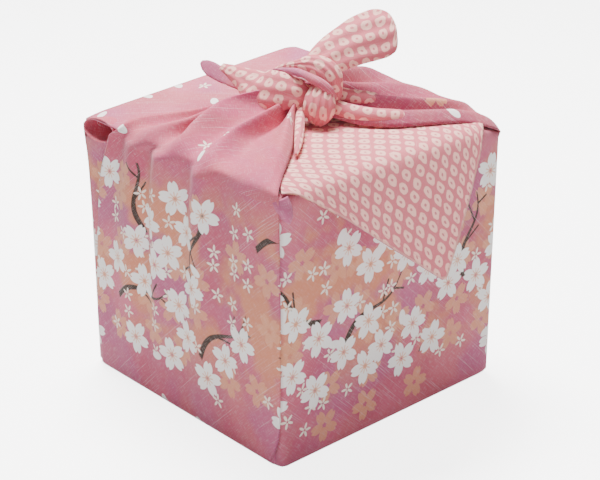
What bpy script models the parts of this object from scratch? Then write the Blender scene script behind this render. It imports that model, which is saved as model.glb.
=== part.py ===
"""Furoshiki wrap: one square cloth tied round a box shape, modelled hollow.

Metres, +Z up; the origin is the centre of the flat underside. The sides are the left one (-X)
and the right one (+X), whose cloth is gathered into the knot, the front one (-Y), whose corner
is folded back and leans out over the wall as a flap, and the back one (+Y), whose cloth lies flat on top.
The cloth is a coarse cage of its folds, rounded by Subdivision Surface and given its thickness
by Solidify; the knot's bands and tails are lofted and joined to it, so the wrap is one solid.
Sizes below are in millimetres and become metres where the cage is made.
"""
import math
from collections import namedtuple

import bmesh
import bpy
from mathutils import Vector

NAME = "furoshiki"
MM = 0.001
CLOTH = 1.0                    # thickness of the sheet
LAYER = 2.4                    # from the middle of one folded layer to the next
HALF_X, HALF_Y = 82.2, 87.9    # middle of the innermost layer, left-right and front-back
TOP = 165.4                    # cloth lying flat over the top
UNDER = 164.0                  # the front cloth on its way in, beneath the folded-back flap
FLAP = 166.4                   # the same cloth coming back out above it
CORNER = 3.5                   # radius of the upright edges
BASE_INSET = 2.5               # how far the underside stands in from the walls
FLAT_SHARE = 0.9               # share of the underside inside its innermost row
OUTER = 2 * LAYER              # the gathered sides lie over a pleat of two more layers
FLOOR_ROW = CLOTH / 2
ROWS = (FLOOR_ROW, 3.5, 28.0, 90.0, 157.0)     # heights of the cage's rows up the walls
PLEAT_DEPTH = (0.0, 0.0, 9.0, 28.0, 40.0)      # how far each pleat is tucked in, row by row
SLANT_COLUMNS = 5              # cage columns of a pleat; with no depth they form a slant
SLANT_STEP = 0.6               # from one of those columns to the next, along the side
# At the walls' top the corners and pleats end; the columns between them run on as the flaps.
HIDDEN_COLUMNS = (2, SLANT_COLUMNS, 2, SLANT_COLUMNS)    # front, right, back, left

# One row for each fold that runs up a gathered side, over its top edge and in to the knot.
# up: how far along the side (y) at each height in ROWS; proud: how far it stands out there;
# over: its points across the top, from the edge crest to inside the knot.
Fold = namedtuple("Fold", "name up proud over")
LEFT_FOLDS = (
    Fold("back crease", (80, 80, 83, 73, 57), (0, 0, 0, 0.2, 0.6),
         ((-88, 50, 167), (-80, 45, 171.5), (-61, 33, 176),
          (-38, 20, 181), (-13, 7, 186), (0, -2, 188))),
    Fold("first hollow", (66, 66, 62, 50, 36), (0, 0, 0, -0.2, -0.6),
         ((-87, 30, 167), (-76, 26, 169), (-57, 19, 171),
          (-36, 11, 175), (-13, 2, 181), (0, -5, 183))),
    Fold("high ridge", (16, 16, 15, 11, 4), (0, 0, 0.3, 0.8, 1.6),
         ((-88, -1, 169), (-77, 5, 175.5), (-61, 9, 181),
          (-43, 6, 187), (-15, -1, 190.5), (0, -8, 191))),
    Fold("second hollow", (-2, -2, -4, -7, -12), (0, 0, 0, -0.2, -0.4),
         ((-87, -15, 167), (-74, -10, 169.5), (-58, -4, 171.5),
          (-38, -2, 176), (-13, -3, 182), (0, -8, 184))),
    Fold("low ridge", (-18, -18, -20, -22, -24), (0, 0, 0.3, 0.8, 1.4),
         ((-86, -27, 168.5), (-70, -21, 171.5), (-53, -9, 174.5),
          (-34, -5, 178), (-12, -6, 181), (0, -10, 182))),
    Fold("trough", (-40, -40, -42, -44, -46), (0, 0, 0, 0, 0),
         ((-86.5, -46, 167.5), (-71, -39, 169), (-54, -27, 170),
          (-34, -15, 172.5), (-11, -9, 177), (0, -12, 178))),
    Fold("flat run", (-62, -62, -64, -65, -67), (0, 0, 0, 0, 0.2),
         ((-86.5, -67, 168), (-69, -58, 169.5), (-51, -43, 170.5),
          (-31, -25, 172.5), (-10, -12, 175), (0, -14, 175))),
    Fold("front crease", (-80, -80, -87.5, -87.5, -87.5), (0, 0, 0, 0, 0),
         ((-85, -85, 168.6), (-66, -67, 169.6), (-48, -48, 170.6),
          (-29, -28, 172), (-9, -11, 173), (0, -15, 172))),
)
RIGHT_FOLDS = (
    Fold("front crease", (-80, -80, -87.5, -87.5, -87.5), (0, 0, 0, 0, 0),
         ((85, -85, 168.6), (64, -76, 169.4), (43, -66, 169.8),
          (20, -48, 170.4), (11, -30, 172), (3, -17, 175))),
    Fold("front ridge", (-68, -68, -69, -71, -74), (0, 0, 0, 0.3, 0.8),
         ((87.5, -73, 168.6), (70, -66, 172), (50, -59, 174.5),
          (26, -42, 177.5), (14, -26, 180), (3, -15, 181))),
    Fold("front hollow", (-52, -52, -54, -57, -60), (0, 0, 0, 0, -0.3),
         ((87, -58, 167.5), (71, -53, 169.2), (51, -42, 170.8),
          (28, -30, 173.5), (14, -21, 178), (3, -13, 182))),
    Fold("middle ridge", (-34, -34, -36, -39, -42), (0, 0, 0.2, 0.6, 1.2),
         ((88, -42, 169), (74, -38, 173.5), (56, -30, 177.5),
          (32, -22, 181.5), (15, -17, 184), (3, -11, 186))),
    Fold("middle hollow", (-12, -12, -14, -17, -20), (0, 0, 0, -0.2, -0.4),
         ((87, -20, 167.5), (72, -17, 169.5), (54, -12, 172.5),
          (32, -12, 178), (14, -13, 183), (3, -9, 187))),
    Fold("back ridge", (10, 10, 8, 4, 0), (0, 0, 0.2, 0.8, 1.4),
         ((88, 0, 169), (75, -1, 175), (58, -2, 179), (34, -6, 184), (14, -9, 187), (3, -7, 189))),
    Fold("back hollow", (36, 36, 34, 29, 24), (0, 0, 0, 0, -0.3),
         ((87, 24, 167.5), (72, 20, 169.5), (54, 12, 172),
          (32, 2, 177), (13, -4, 182), (3, -4, 186))),
    Fold("back crease", (80, 80, 82, 72, 55), (0, 0, 0, 0.2, 0.6),
         ((87.5, 48, 167), (74, 40, 172), (56, 26, 176), (33, 8, 181), (13, 0, 183), (3, -2, 184))),
)

# The front cloth, column by column: x, and how much of the flap hangs there past the top edge.
FlapColumn = namedtuple("FlapColumn", "x hang")
FLAP_COLUMNS = (
    FlapColumn(-77, 2.5), FlapColumn(-60, 8), FlapColumn(-40, 27), FlapColumn(-18, 49),
    FlapColumn(3, 70), FlapColumn(24, 49), FlapColumn(43, 30), FlapColumn(61, 12),
    FlapColumn(77, 3),
)
# Sections (y, z) of the front cloth from the wall's top to the fold under the knot and back out.
FRONT_SECTIONS = (
    (-HALF_Y + 0.8, UNDER - 1.0), (-82.0, UNDER), (-50.0, UNDER), (-19.0, UNDER - 0.1),
    (-16.6, (UNDER + FLAP) / 2 - 0.1), (-19.0, FLAP), (-50.0, FLAP), (-82.0, FLAP + 0.2),
    (-89.6, FLAP - 1.2), (-92.4, FLAP - 5.0),
)
HANG_STEPS = (0.35, 0.7, 1.0)  # shares of the way from the flap's last section to its hem
HANG_LEAN = math.radians(32)   # the stiff flap stands out from the wall by this angle

# The back cloth: x of each column on top, and how far its margin there is rolled down.
BackColumn = namedtuple("BackColumn", "x roll")
BACK_COLUMNS = (
    BackColumn(74, 4), BackColumn(68, 0), BackColumn(38, 0), BackColumn(5, 0),
    BackColumn(-35, 0), BackColumn(-68, 0), BackColumn(-74, 4),
)
BACK_SECTIONS = ((HALF_Y - 0.8, TOP - 1.2), (80.0, TOP), (40.0, TOP - 0.3), (-7.0, TOP))

# The knot: each band is a row of sections, its middle, half its width and half its thickness,
# and the direction across its width.
Section = namedtuple("Section", "x y z width thick across")
TAIL_TILT = (-0.10, 0.28, 0.95)
LEFT_TAIL = (
    Section(4, -14, 187, 8, 6, TAIL_TILT), Section(-7, -7, 186.5, 9.5, 4.5, TAIL_TILT),
    Section(-15, 5, 184.5, 10, 3.2, TAIL_TILT), Section(-19.5, 18, 185, 7.5, 2.8, TAIL_TILT),
    Section(-22.5, 31, 187, 5.2, 2.6, TAIL_TILT), Section(-26, 43, 189, 4.6, 2.2, TAIL_TILT),
    Section(-27.5, 49, 189.6, 2.6, 1.6, TAIL_TILT),
)
RIGHT_ACROSS = (0.62, -0.14, -0.77)
RIGHT_TAIL = (
    Section(3, -13, 193, 8, 6, RIGHT_ACROSS), Section(12, -18, 200, 8.5, 5, RIGHT_ACROSS),
    Section(22, -21.5, 205.5, 12, 4, RIGHT_ACROSS), Section(33, -25.5, 211, 14, 3.6, RIGHT_ACROSS),
    Section(43, -28, 217, 13, 3, RIGHT_ACROSS), Section(49, -29, 221.5, 9, 2.2, RIGHT_ACROSS),
)
BAND = (
    Section(-9, 2.5, 188, 6, 4, (0.5, -0.3, -0.8)), Section(-6, -4, 195.5, 8, 4.5, (0.6, -0.45, -0.5)),
    Section(2, -13, 199.5, 9, 5, (0.7, 0.1, -0.7)), Section(9, -22, 195, 7.5, 5, (0.6, 0.35, 0.7)),
    Section(10, -27, 184, 6, 4.5, (0.6, 0.1, 0.3)),
)
LOOP = (
    Section(0, -13, 192, 7, 5, (0.75, -0.6, 0)), Section(-1, -22.5, 189.5, 9.5, 6, (0.75, -0.6, 0)),
    Section(-2, -27, 182, 10.5, 6.5, (0.75, -0.6, 0)), Section(-1, -24, 174.5, 9, 5, (0.75, -0.6, 0)),
    Section(2, -16, 172.6, 7, 3.2, (0.75, -0.6, 0)),
)
HEART = (2, -13, 183.5)        # the middle of the knot, where both strands end
HEART_RADII = (14, 16, 14.5)
TUBE_SIDES = 8


def remove_everything():
    """Empty the scene, the start-up cube included."""
    for item in list(bpy.data.objects):
        bpy.data.objects.remove(item)


def new_collection(name):
    """A collection of the scene."""
    collection = bpy.data.collections.new(name)
    bpy.context.scene.collection.children.link(collection)
    return collection


def point(bm, x, y, z):
    """A cage vertex from millimetres."""
    return bm.verts.new((x * MM, y * MM, z * MM))


def gathered_side(side, folds, row):
    """Points round one gathered side at one height: pleat, outer layer with its folds, pleat.

    A pleat goes in by its depth on the innermost layer, turns, comes back on the middle layer
    and turns again onto the outer one. Near the floor it has no depth and is a short slant.
    """
    depth = PLEAT_DEPTH[row]
    first, last = folds[0].up[row], folds[-1].up[row]
    way = 1 if last > first else -1
    if depth > 0:
        turn = 0.5 * LAYER
        enter = [(way * depth, 0), (way * (depth + turn), 0.5 * LAYER), (way * depth, LAYER),
                 (0, LAYER), (-way * turn, 1.5 * LAYER)]
    else:
        enter = [(-way * SLANT_STEP * (SLANT_COLUMNS - step), OUTER * step / SLANT_COLUMNS)
                 for step in range(SLANT_COLUMNS)]
    places = [(first + along, out) for along, out in enter]
    places += [(fold.up[row], OUTER + fold.proud[row]) for fold in folds]
    places += [(last - along, out) for along, out in reversed(enter)]
    inset = BASE_INSET if row == 0 else 0.0
    shorter = 1 - inset / HALF_Y
    return [(side * (HALF_X + out - inset), along * shorter, ROWS[row]) for along, out in places]


def plain_side(side, columns, row):
    """Points along the front (side -1) or back (side 1) wall at one height, corners included."""
    inset = BASE_INSET if row == 0 else 0.0
    x_wall, y_wall = HALF_X - inset, HALF_Y - inset
    arc = 0.3 * CORNER
    first = side
    start = [(first * x_wall, side * (y_wall - CORNER)),
             (first * (x_wall - arc), side * (y_wall - arc)),
             (first * (x_wall - CORNER), side * y_wall)]
    end = [(-x, y) for x, y in reversed(start)]
    places = start + [(column.x, side * y_wall) for column in columns[1:-1]] + end
    return [(x, y, ROWS[row]) for x, y in places]


def ring(row):
    """One closed row of the walls, counterclockwise from above."""
    return (plain_side(-1, FLAP_COLUMNS, row), gathered_side(1, RIGHT_FOLDS, row),
            plain_side(1, BACK_COLUMNS, row), gathered_side(-1, LEFT_FOLDS, row))


def faces_between(bm, lower, upper, closed=False):
    """Quads between two rows of vertices with as many columns."""
    count = len(lower)
    for i in range(count if closed else count - 1):
        j = (i + 1) % count
        bm.faces.new((lower[i], lower[j], upper[j], upper[i]))


def add_rows(bm, row, sections):
    """Carry a row of vertices on through further rows of points; returns the last row."""
    for section in sections:
        above = [point(bm, *place) for place in section]
        faces_between(bm, row, above)
        row = above
    return row


def front_rows():
    """Rows of the front cloth: in over the top, folded back, and out past the top edge."""
    rows = [[(column.x, y, z) for column in FLAP_COLUMNS] for y, z in FRONT_SECTIONS]
    y_last, z_last = FRONT_SECTIONS[-1]
    for step in HANG_STEPS:
        rows.append([(column.x, y_last - column.hang * step * math.sin(HANG_LEAN),
                      z_last - column.hang * step * math.cos(HANG_LEAN))
                     for column in FLAP_COLUMNS])
    return rows


def back_rows():
    """Rows of the back cloth, in over the top with its two margins rolled down."""
    return [[(column.x, y, z - column.roll) for column in BACK_COLUMNS] for y, z in BACK_SECTIONS]


def cloth_cage(collection):
    """The cloth's cage as one open sheet: underside, walls and the four flaps over the top."""
    bm = bmesh.new()
    crease = bm.verts.layers.float.new("crease_vert")
    rows = [[point(bm, *place) for side in ring(row) for place in side] for row in range(len(ROWS))]
    for lower, upper in zip(rows, rows[1:]):
        faces_between(bm, lower, upper, closed=True)
    inner = [bm.verts.new((v.co.x * FLAT_SHARE, v.co.y * FLAT_SHARE, v.co.z)) for v in rows[0]]
    faces_between(bm, inner, rows[0], closed=True)
    bm.faces.new(list(reversed(inner)))
    tops, start = [], 0
    for side, hidden in zip(ring(len(ROWS) - 1), HIDDEN_COLUMNS):
        tops.append(rows[-1][start + hidden:start + len(side) - hidden])
        start += len(side)
    front, right, back, left = tops
    hem = add_rows(bm, front, front_rows())
    add_rows(bm, back, back_rows())
    for row, folds in ((right, RIGHT_FOLDS), (left, LEFT_FOLDS)):
        add_rows(bm, row, [[fold.over[step] for fold in folds] for step in range(len(folds[0].over))])
    tip = max(range(len(FLAP_COLUMNS)), key=lambda i: FLAP_COLUMNS[i].hang)
    hem[tip][crease] = 1.0
    mesh = bpy.data.meshes.new(NAME)
    bm.to_mesh(mesh)
    bm.free()
    cloth = bpy.data.objects.new(NAME, mesh)
    collection.objects.link(cloth)
    round_off(cloth)
    solid = cloth.modifiers.new("cloth thickness", "SOLIDIFY")
    solid.thickness = CLOTH * MM
    solid.offset = 0.0
    solid.use_quality_normals = True
    return cloth


def round_off(thing):
    """Round a coarse cage."""
    smooth = thing.modifiers.new("rounding", "SUBSURF")
    smooth.levels = 1
    smooth.render_levels = 1


def band(name, sections, collection):
    """A folded band of cloth: oval sections lofted along a path, with closed ends."""
    bm = bmesh.new()
    middles = [Vector((s.x, s.y, s.z)) for s in sections]
    rows = []
    for i, section in enumerate(sections):
        along = (middles[min(i + 1, len(middles) - 1)] - middles[max(i - 1, 0)]).normalized()
        across = Vector(section.across)
        across = (across - along * across.dot(along)).normalized()
        out = along.cross(across)
        row = []
        for k in range(TUBE_SIDES):
            turn = 2 * math.pi * k / TUBE_SIDES
            place = (middles[i] + across * section.width * math.cos(turn)
                     + out * section.thick * math.sin(turn))
            row.append(point(bm, *place))
        rows.append(row)
    for lower, upper in zip(rows, rows[1:]):
        faces_between(bm, lower, upper, closed=True)
    bm.faces.new(list(reversed(rows[0])))
    bm.faces.new(rows[-1])
    return joined_piece(name, bm, collection)


def heart(collection):
    """The packed middle of the knot."""
    bm = bmesh.new()
    bmesh.ops.create_uvsphere(bm, u_segments=10, v_segments=6, radius=1.0)
    for v in bm.verts:
        v.co = Vector([(middle + radius * place) * MM
                       for middle, radius, place in zip(HEART, HEART_RADII, v.co)])
    return joined_piece("knot heart", bm, collection)


def joined_piece(name, bm, collection):
    """A closed piece of the knot, kept as a guide that is joined to the cloth."""
    bmesh.ops.recalc_face_normals(bm, faces=bm.faces)
    mesh = bpy.data.meshes.new(name)
    bm.to_mesh(mesh)
    bm.free()
    thing = bpy.data.objects.new(name, mesh)
    collection.objects.link(thing)
    round_off(thing)
    thing.hide_render = True
    thing.display_type = "WIRE"
    return thing


def join(cloth, piece):
    """Fuse a piece of the knot with the cloth."""
    union = cloth.modifiers.new("joins " + piece.name, "BOOLEAN")
    union.operation = "UNION"
    union.solver = "EXACT"
    union.object = piece


def cotton():
    """Mauve-pink slub cotton."""
    material = bpy.data.materials.new("mauve cotton")
    material.use_nodes = True
    shader = material.node_tree.nodes["Principled BSDF"]
    shader.inputs["Base Color"].default_value = (0.55, 0.26, 0.30, 1)
    shader.inputs["Roughness"].default_value = 0.85
    shader.inputs["Metallic"].default_value = 0.0
    return material


def main():
    remove_everything()
    parts = new_collection(NAME)
    guides = new_collection("knot guides")
    cloth = cloth_cage(parts)
    cloth.data.materials.append(cotton())
    knot = heart(guides)
    for name, sections in (("left tail", LEFT_TAIL), ("right tail", RIGHT_TAIL),
                           ("knot band", BAND), ("knot loop", LOOP)):
        join(knot, band(name, sections, guides))
    join(cloth, knot)


main()
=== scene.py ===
"""Furoshiki wrap: a square slub-cotton cloth tied round a box shape, dressed over its CAD frame.

The cloth is one thin sheet worked out as grids: the underside, four walls with their hidden
pleats, two gathered strands that run over the top edge to the knot, the flat back cloth, and
the front cloth that goes in over the top, folds back and leans out as a flap. Each grid also
carries its place on the flat cloth, in metres from the cloth's centre, as the UV map "flat", so
the print on one side and the shibori rings on the other lie on it as woven. Tables are in mm.
"""
import math
from collections import namedtuple

import bpy
import numpy as np
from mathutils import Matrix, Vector


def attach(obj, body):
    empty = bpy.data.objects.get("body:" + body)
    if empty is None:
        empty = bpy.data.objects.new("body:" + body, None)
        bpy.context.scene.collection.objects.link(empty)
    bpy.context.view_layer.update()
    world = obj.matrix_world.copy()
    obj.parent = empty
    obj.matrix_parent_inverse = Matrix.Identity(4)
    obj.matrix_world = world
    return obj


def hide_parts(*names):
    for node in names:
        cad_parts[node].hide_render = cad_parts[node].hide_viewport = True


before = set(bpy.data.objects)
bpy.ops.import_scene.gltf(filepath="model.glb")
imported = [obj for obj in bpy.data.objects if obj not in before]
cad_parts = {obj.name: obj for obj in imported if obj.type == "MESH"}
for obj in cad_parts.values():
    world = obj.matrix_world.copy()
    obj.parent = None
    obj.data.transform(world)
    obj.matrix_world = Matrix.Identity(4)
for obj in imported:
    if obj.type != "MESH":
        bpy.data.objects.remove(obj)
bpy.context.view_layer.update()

MM = 0.001
CLOTH = 0.6                    # thickness of the cotton
LAYER = 1.2                    # from one hidden folded layer to the next
HALF_X, HALF_Y = 82.2, 87.9    # the innermost layer, left-right and front-back
TOP = 165.4                    # the back cloth lying flat on top
UNDER = 164.0                  # the front cloth on its way in
FLAP = 167.0                   # the same cloth coming back out
CORNER = 3.5                   # radius of the upright edges
BASE_INSET = 2.5               # how far the underside stands in from the walls
OUTER = 4 * LAYER              # the gathered sides lie over a pleat of four layers
WIDER = {-1: 3.9, 1: 2.4}      # how much further out the front and back walls' corners stand
FLARE = (0.0, 0.0, 0.0, 0.0, 0.6, 2.6)    # and how much more, at each height, at the back
POCKET_SINK = 6.8              # how far the wall dips under the pocket's mouth
POCKET_MOUTH = (-86.8, 71.6, 159.8)       # the middle of that mouth
POCKET_HALF = (14.6, 6.8)      # its half width and half height
POCKET_DEPTH = 20.0
CORNER_SINK = 4.6              # how far the right front corner's top slopes down
GRAIN, HIDDEN_GRAIN = 2.8, 8.0            # grid steps along the walls, in sight and in the pleats
STRAND_GRAIN = 2.4             # grid steps along the strands
ROWS = (0.4, 3.5, 28.0, 90.0, 130.0, 160.0)
ROW_STEPS = (2, 9, 22, 14, 11)
PLEAT_DEPTH = (0.0, 0.0, 20.0, 58.0, 70.0, 66.0)
PLEAT_TUCK = 7.0               # from the outer layer's crease to the hidden layers' folds
PLEAT_COLUMNS, SLANT_STEP = 12, 0.3
WALL_START = 86.0              # from the middle of the underside to the walls, on the flat cloth

# One row for each fold that runs up a gathered side, over its top edge and in to the knot.
# up: how far along the side (y) at each height in ROWS; proud: how far it stands out there;
# over: its places across the top, from the edge's crest to inside the knot.
Fold = namedtuple("Fold", "name up proud over")
LEFT_FOLDS = (
    Fold("back crease", (80, 80, 82, 76.5, 70, 58), (0, 0, 0.2, 0.8, 1.4, 2.0),
         ((-88.5, 51, 165.5), (-85.5, 47.5, 169.6), (-77, 43, 173), (-63.5, 34, 174.6), (-51, 24.5, 176.6),
          (-28, 13.5, 180.5), (-4, 0, 184))),
    Fold("corner hollow", (68, 68, 68, 63, 57, 48), (0, 0, 0, -0.1, -0.1, -0.1),
         ((-86, 42, 165.2), (-82, 38, 168.2), (-73, 32, 169.8), (-60, 24.5, 171), (-48, 17.5, 172.6),
          (-26, 9, 176.4), (-4, -4, 182))),
    Fold("petal ridge", (50, 50, 48, 44, 39, 33), (0, 0.2, 1.2, 3.2, 4.4, 5.0),
         ((-89.2, 28.2, 165.8), (-84.4, 25, 170.9), (-76, 19, 174.8), (-64.5, 13, 177.4), (-52, 12, 179.4),
          (-28, 6, 181.5), (-4, -5, 186))),
    Fold("deep hollow", (32, 32, 31, 28, 26, 22), (0, 0, 0, -0.1, -0.2, -0.2),
         ((-86, 14.5, 165), (-81.5, 11.4, 167.6), (-73, 9.8, 168.8), (-62, 9, 170.2), (-50, 9, 173),
          (-28, 2, 177), (-4, -6, 184))),
    Fold("high ridge", (18, 18, 18, 17, 15, 9), (0, 0.2, 1.4, 3.8, 5.2, 5.8),
         ((-89.7, 1.5, 166), (-85.2, -1, 171.5), (-80, -0.6, 175), (-71, 2.8, 178.6), (-57.5, 5.6, 182.6),
          (-40, 10, 184), (-4, -6, 189))),
    Fold("second hollow", (-4, -4, -4, -6, -9, -13), (0, 0, 0, -0.1, -0.2, -0.2),
         ((-86.2, -15.5, 165), (-81.5, -15, 167.8), (-73, -12.5, 169.2), (-61.5, -9, 170.8), (-48, -6, 172.8),
          (-25, -5, 176), (-3, -8, 184))),
    Fold("low ridge", (-18, -18, -18, -20, -22, -25.5), (0, 0.2, 1.3, 3.4, 4.6, 5.2),
         ((-89.3, -28, 165.8), (-84.6, -27.2, 170.7), (-77.5, -24.5, 174), (-68, -21, 176), (-56, -17, 177.8),
          (-32, -13, 179.8), (-2, -9, 183))),
    Fold("trough", (-42, -42, -42, -42, -42, -42), (0, 0, 0, 0, -0.1, -0.2),
         ((-86.6, -43.5, 165.6), (-80, -39, 168), (-68, -33.5, 168.2), (-55, -27, 168.2), (-41, -20.5, 168.4),
          (-23, -16, 169.8), (-3, -12, 175))),
    Fold("flat run", (-60, -60, -61, -62, -62, -62), (0, 0, 0.3, 1.0, 1.6, 1.9),
         ((-87.2, -60.5, 167), (-78.5, -55, 170.6), (-64, -46, 171.6), (-49, -37, 172), (-34, -27, 173),
          (-16, -17, 175.5), (-2, -14, 177))),
    Fold("front ridge", (-72, -72, -77, -78, -77.5, -77), (0, 0, 0.1, 0.5, 1.0, 1.5),
         ((-87.8, -76.5, 167.2), (-77, -68, 172), (-60, -56.5, 174.6), (-44, -43.5, 176), (-27, -28.5, 178.4),
          (-11, -16.5, 181), (-1, -14, 181))),
    Fold("front crease", (-80, -80, -87.5, -88.6, -88.4, -88), (0, 0, 0, 0, 0.2, 0.2),
         ((-87, -87.2, 166.2), (-76, -77.4, 169), (-58, -62.4, 169.8), (-42, -48.6, 170.4),
          (-22, -28, 171.6), (-8, -15.4, 173), (-1, -16, 174))),
)
RIGHT_FOLDS = (
    Fold("front crease", (-80, -80, -84, -84.5, -84.5, -84.5), (0, 0, 0, 0, 0, 0),
         ((87.2, -86.8, 158.4), (80.5, -87, 162.4), (60, -77.5, 168.2), (44, -69, 168.6), (28, -60, 168.8),
          (14, -45, 169.4), (5, -27, 172))),
    Fold("front roll", (-72, -72, -73, -75, -77, -78.5), (0, 0, 0.1, 0.4, 0.8, 1.2),
         ((88.6, -80.5, 161), (83.2, -79.5, 166.6), (63, -70, 173.8), (46.5, -60.5, 174.8), (29.5, -49.5, 176),
          (15, -31.5, 179), (6, -18, 181))),
    Fold("roll hollow", (-60, -60, -62, -65, -67, -69), (0, 0, 0, 0, 0, -0.2),
         ((88, -69, 163.4), (82.5, -69, 167.6), (64, -61, 168.2), (47.5, -52, 168.8), (31, -41, 170.4),
          (17, -27, 175), (5, -14, 181))),
    Fold("middle ridge", (-40, -40, -42, -47, -51, -55), (0, 0, 0.4, 1.2, 2.0, 2.8),
         ((89, -59, 165), (83.4, -61, 170.8), (66.5, -55.5, 175.6), (50.5, -46, 178), (35, -35, 180.2),
          (22, -22, 183), (6, -12, 186))),
    Fold("middle hollow", (-24, -24, -26, -30, -34, -38), (0, 0, 0, -0.2, -0.4, -0.6),
         ((88, -41, 166), (81.5, -41, 170.4), (66, -36.5, 170.4), (50.5, -30.5, 171), (35, -24, 172.8),
          (19, -18, 181.4), (4, -11, 186))),
    Fold("lip ridge", (-10, -10, -12, -16, -19, -22), (0, 0, 0.3, 0.9, 1.5, 2.1),
         ((89, -24.5, 167.2), (81.5, -24.5, 172.2), (68, -21, 176.6), (52.5, -18, 179.6), (36, -16, 182.8),
          (20, -13.5, 187), (4, -9, 188))),
    Fold("lip hollow", (8, 8, 6, 2, -2, -6), (0, 0, 0, -0.1, -0.3, -0.5),
         ((88, -8, 167), (80, -8.6, 171.4), (65.5, -6.5, 170.4), (50.5, -5.4, 171.8), (34, -7, 176.6),
          (18, -9.5, 186), (4, -8, 188))),
    Fold("back ridge", (32, 32, 30, 24, 18, 12), (0, 0, 0.4, 1.2, 2.0, 2.8),
         ((89, 11, 167.6), (81.5, 9, 173.4), (68, 7.6, 180), (52, 4.2, 184), (34, -1, 187), (15, -7, 190),
          (3, -6, 190))),
    Fold("back hollow", (56, 56, 54, 48, 42, 34), (0, 0, 0, -0.1, -0.3, -0.4),
         ((88, 30, 166), (79, 26, 169.6), (63.5, 19, 169.6), (48, 11, 171), (32, 4, 175), (14, -3, 184),
          (3, -4, 187))),
    Fold("back crease", (80, 80, 82, 77, 70, 58), (0, 0, 0.2, 0.6, 1.0, 1.4),
         ((89.5, 50, 167), (79, 43, 172.2), (63, 33, 175), (47, 22, 178), (31, 11, 181.5), (13, 1, 184.5),
          (3, -2, 186))),
)

# The flap: x along the top edge, and how much of the cloth goes on past it (less than nought:
# it stops short). Its two hems run at 45 degrees to the walls and meet at the tip.
FLAP_HEM = ((-86, -8.5), (-78.7, -7), (-75, -4.5), (-71, -1), (-65.5, 3.6), (-53, 14.2), (-1.5, 65.8),
            (1, 65.2), (22, 45.6), (42, 25.6), (60, 6.6), (66, -2), (78.7, -16))
DRAWN_IN = 78.7                # half width of the front cloth where it lies under the strands
FLAP_LEAN = math.radians(32)
FLAP_ROWS = 66
FLAP_REACH = 90.0              # a line longer than the flap, to measure its hem along
HEM_FOLD = 4.5                 # from the hem's edge to its stitching
NO_HEM = 99.0                  # hem distance of places with no hem near
FRONT_WIDTHS = (-60, -40, -18, 3, 24, 43, 61)
# Places (y, z) of the front cloth: in over the top, folded back under the knot, out to the edge.
FRONT_SECTIONS = (
    (-HALF_Y + 0.8, UNDER - 1.0), (-82.0, UNDER), (-50.0, UNDER), (-10.0, UNDER),
    (-7.6, (UNDER + FLAP) / 2), (-10.0, FLAP), (-50.0, FLAP + 0.3), (-74.0, FLAP + 0.4),
    (-84.0, FLAP - 0.2), (-89.6, FLAP - 2.6), (-92.4, FLAP - 6.4),
)
FRONT_STEPS = (2, 11, 13, 4, 4, 14, 9, 6, 5, 4)
FRONT_TURN = 5                 # the section where the cloth has turned back
BACK_WIDTHS = (68, 38, 5, -35, -68)
# The back cloth covers the whole top and tucks down inside the front wall.
BACK_SECTIONS = ((HALF_Y - 0.8, TOP - 1.6), (80.0, TOP), (40.0, TOP - 0.2), (-7.0, TOP - 0.4),
                 (-40.0, 161.6), (-80.0, 161.4), (-85.0, 158.0), (-85.6, 110.0))
BACK_STEPS = (3, 12, 14, 8, 8, 3, 9)
MARGIN, BACK_EDGE = 66.0, 83.6            # the back cloth's margins roll down between these half widths
# Along and out from the centre of the flat cloth, for the front, right, back and left sides.
SIDE_AXES = (((1, 0), (0, -1)), ((0, 1), (1, 0)), ((-1, 0), (0, 1)), ((0, -1), (-1, 0)))


def ramp(value, start, end):
    """The share of the way from start to end that a value has gone, kept from 0 to 1."""
    return np.clip((value - start) / (end - start), 0, 1)


def running_curve(knots, places, at, start_slope=None):
    """Cubic Hermite curve through rows of places, worked out at the values `at` of the knots.

    Each place's slope is the weighted harmonic mean of the slopes of the steps either side of it,
    and nought where they turn back, so no part overshoots; the ends take the slope of their one
    step, or start_slope.
    """
    knots, places, at = np.asarray(knots, float), np.asarray(places, float), np.asarray(at, float)
    wide = (slice(None),) + (None,) * (places.ndim - 1)
    step = np.diff(knots)[wide]
    rise = np.diff(places, axis=0) / step
    before, after = rise[:-1], rise[1:]
    near, far = 2 * step[1:] + step[:-1], step[1:] + 2 * step[:-1]
    onward = before * after > 1e-12
    bottom = np.where(onward, near * after + far * before, 1.0)
    slope = np.concatenate([rise[:1], np.where(onward, (near + far) * before * after / bottom, 0.0), rise[-1:]])
    if start_slope is not None:
        slope[0] = start_slope
    i = np.clip(np.searchsorted(knots, at, side="right") - 1, 0, len(knots) - 2)
    h = step[i]
    f = ((at - knots[i]) / np.diff(knots)[i])[wide]
    return ((1 + 2 * f) * (1 - f) ** 2 * places[i] + f * (1 - f) ** 2 * h * slope[i]
            + f * f * (3 - 2 * f) * places[i + 1] + f * f * (f - 1) * h * slope[i + 1])


def chord_knots(places):
    """Running length along rows of places, with very short steps kept above zero."""
    step = np.linalg.norm(np.diff(places, axis=0), axis=-1)
    if step.ndim > 1:
        step = step.mean(axis=1)
    return np.concatenate([[0], np.cumsum(np.maximum(step, 0.05))])


def subdivided(knots, counts):
    """The knots with each step cut into its count of even parts."""
    parts = [knots[i] + (knots[i + 1] - knots[i]) * np.arange(n) / n for i, n in enumerate(counts)]
    return np.concatenate(parts + [knots[-1:]])


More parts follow.
